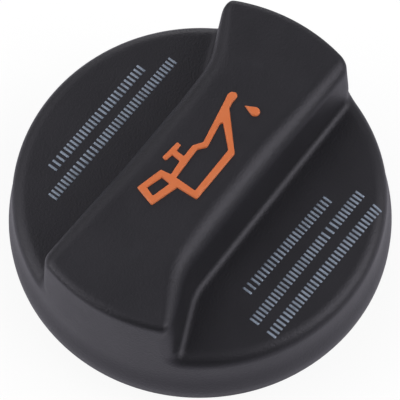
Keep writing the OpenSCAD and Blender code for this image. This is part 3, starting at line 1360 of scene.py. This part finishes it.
@dataclass(frozen=True)
class Studio:
    """Camera, floor and soft light; distances in millimetres, angles in degrees.

    The floor is even to the camera. In the cap's gloss its glow falls from floor_near to floor_far over
    the sheet's distances from the axis, and below_glow is what the hollow gets from the floor under it.
    A box is its azimuth, elevation and strength.
    """

    distance: float = 400.0
    azimuth: float = -51.76
    elevation: float = 65.71
    roll: float = -1.566
    focal: float = 195.98
    aim_right: float = 0.055
    aim_up: float = 3.330
    pivot_z: float = 9.0
    sight: tuple[float, float] = (10.0, 20000.0)
    floor_side: float = 6000.0
    floor_grey: tuple[float, float, float, float] = (0.85, 0.85, 0.85, 1.0)
    floor_share: float = 0.8
    floor_glow: float = 1.1
    floor_near: float = 0.7
    floor_far: float = 0.0
    sheet_tint: tuple[float, float, float] = (0.94, 0.91, 1.03)
    below_glow: float = 2.5
    below_near: float = 18.0
    below_far: float = 27.0
    sheet_near: float = 80.0
    sheet_far: float = 160.0
    gap_level: float = 0.02
    box_power: float = 14.0
    boxes: tuple[tuple[float, float, float], ...] = (
        (36.0, 4.0, 2.6), (108.0, 4.0, 0.7), (144.0, 4.0, 3.3), (324.0, 4.0, 0.96),
        (112.0, 26.0, 0.3), (292.0, 26.0, 2.7),
        (45.0, 48.0, 0.3), (90.0, 48.0, 0.87), (135.0, 48.0, 1.64), (270.0, 48.0, 1.07), (315.0, 48.0, 0.94),
    )

    def camera(self) -> None:
        """Places the camera at the photograph's angle."""
        a, e = math.radians(self.azimuth), math.radians(self.elevation)
        right = Vector((math.cos(a), math.sin(a), 0.0))
        up = Vector((-math.sin(a) * math.sin(e), math.cos(a) * math.sin(e), math.cos(e)))
        back = Vector((math.sin(a) * math.cos(e), -math.cos(a) * math.cos(e), math.sin(e)))
        pivot = Vector((0.0, 0.0, self.pivot_z))
        spot = pivot + right * self.aim_right + up * self.aim_up
        place = pivot + back * self.distance
        data = bpy.data.cameras.new("camera")
        data.lens = self.focal
        data.clip_start, data.clip_end = (distance * MM for distance in self.sight)
        made = placed("camera", data)
        made.location = place * MM
        made.rotation_mode = "QUATERNION"
        look = (spot - place).to_track_quat("-Z", "Y")
        made.rotation_quaternion = Quaternion((place - spot).normalized(), math.radians(self.roll)) @ look
        bpy.context.scene.camera = made

    def floor_finish(self) -> bpy.types.Material:
        """Builds the floor's material: even to the camera, and fading with distance in the cap's gloss.

        Returns:
            The new material.
        """
        pale = bpy.data.materials.new("pale_floor")
        pale.use_nodes = True
        graph = Graph(pale.node_tree)
        path = graph.add("ShaderNodeLightPath")
        camera = path.outputs["Is Camera Ray"]
        seen = graph.math("ADD", camera, path.outputs["Is Glossy Ray"], True)
        seen = graph.math("ADD", seen, path.outputs["Is Transmission Ray"], True)
        lit = graph.out("ShaderNodeBsdfDiffuse", {"Color": self.floor_grey})
        place = graph.add("ShaderNodeTexCoord").outputs["Object"]
        away = graph.add("ShaderNodeVectorMath", {0: place}, operation="LENGTH").outputs["Value"]
        sheet = graph.ramp(away, self.sheet_near * MM, self.sheet_far * MM, self.floor_near, self.floor_far)
        below = graph.ramp(away, self.below_near * MM, self.below_far * MM, self.below_glow, 0.0)
        sheet = graph.math("ADD", sheet, below)
        strength = graph.ramp(camera, 0.0, 1.0, sheet, self.floor_glow)
        tints = {i: graph.ramp(camera, 0.0, 1.0, tint, 1.0) for i, tint in enumerate(self.sheet_tint)}
        tint = graph.out("ShaderNodeCombineColor", tints)
        glow = graph.out("ShaderNodeEmission", {"Color": tint, "Strength": strength})
        share = graph.math("MULTIPLY", seen, self.floor_share)
        mix = graph.out("ShaderNodeMixShader", {0: share, 1: lit, 2: glow})
        under = graph.add("ShaderNodeNewGeometry").outputs["Backfacing"]
        clear = graph.out("ShaderNodeBsdfTransparent")
        both = graph.out("ShaderNodeMixShader", {0: under, 1: mix, 2: clear})
        graph.add("ShaderNodeOutputMaterial", {"Surface": both})
        return pale

    def floor(self) -> bpy.types.Object:
        """Makes the pale floor.

        Returns:
            The floor's object.
        """
        side = self.floor_side * MM / 2.0
        corners = [(-side, -side, 0), (side, -side, 0), (side, side, 0), (-side, side, 0)]
        mesh = bpy.data.meshes.new("floor")
        mesh.from_pydata(corners, [], [(0, 1, 2, 3)])
        made = placed("floor", mesh)
        mesh.materials.append(self.floor_finish())
        return made

    def world(self) -> None:
        """Lights the cap from soft boxes round it, with dark gaps between them."""
        world = bpy.data.worlds.new("studio")
        bpy.context.scene.world = world
        world.use_nodes = True
        graph = Graph(world.node_tree)
        way = graph.add("ShaderNodeTexCoord").outputs["Generated"]
        level: Any = self.gap_level
        for azimuth, elevation, strength in self.boxes:
            a, e = math.radians(azimuth), math.radians(elevation)
            aim = (math.cos(a) * math.cos(e), math.sin(a) * math.cos(e), math.sin(e))
            facing = graph.add("ShaderNodeVectorMath", {0: way, 1: aim}, operation="DOT_PRODUCT")
            near = graph.math("MAXIMUM", facing.outputs["Value"], 0.0)
            near = graph.math("POWER", near, self.box_power)
            level = graph.math("ADD", graph.math("MULTIPLY", near, strength), level)
        camera = graph.add("ShaderNodeLightPath").outputs["Is Camera Ray"]
        strength = graph.out("ShaderNodeMix", {0: camera, 2: level, 3: 1.0})
        back = graph.out("ShaderNodeBackground", {"Color": (1.0, 1.0, 1.0, 1.0), "Strength": strength})
        graph.add("ShaderNodeOutputWorld", {"Surface": back})

    def build(self) -> None:
        """Makes the camera, the floor and the light."""
        self.camera()
        self.floor()
        self.world()
        bpy.context.scene.view_settings.view_transform = "Standard"


def main() -> None:
    """Builds the cap piece by piece and reports each one."""
    logging.basicConfig(level=logging.INFO, format="%(name)s: %(message)s")
    Studio().build()
    sizes = CoverSizes.from_frame()
    cover = Cover(sizes)
    pieces = (cover, LockingInsert(), SealRing(), Sign(base_z=sizes.top_z), PrintRows(cover.form))
    for piece in pieces:
        made = piece.build()
        LOG.info("%s has %d faces", made.name, len(made.data.polygons))


if __name__ == "__main__":
    main()
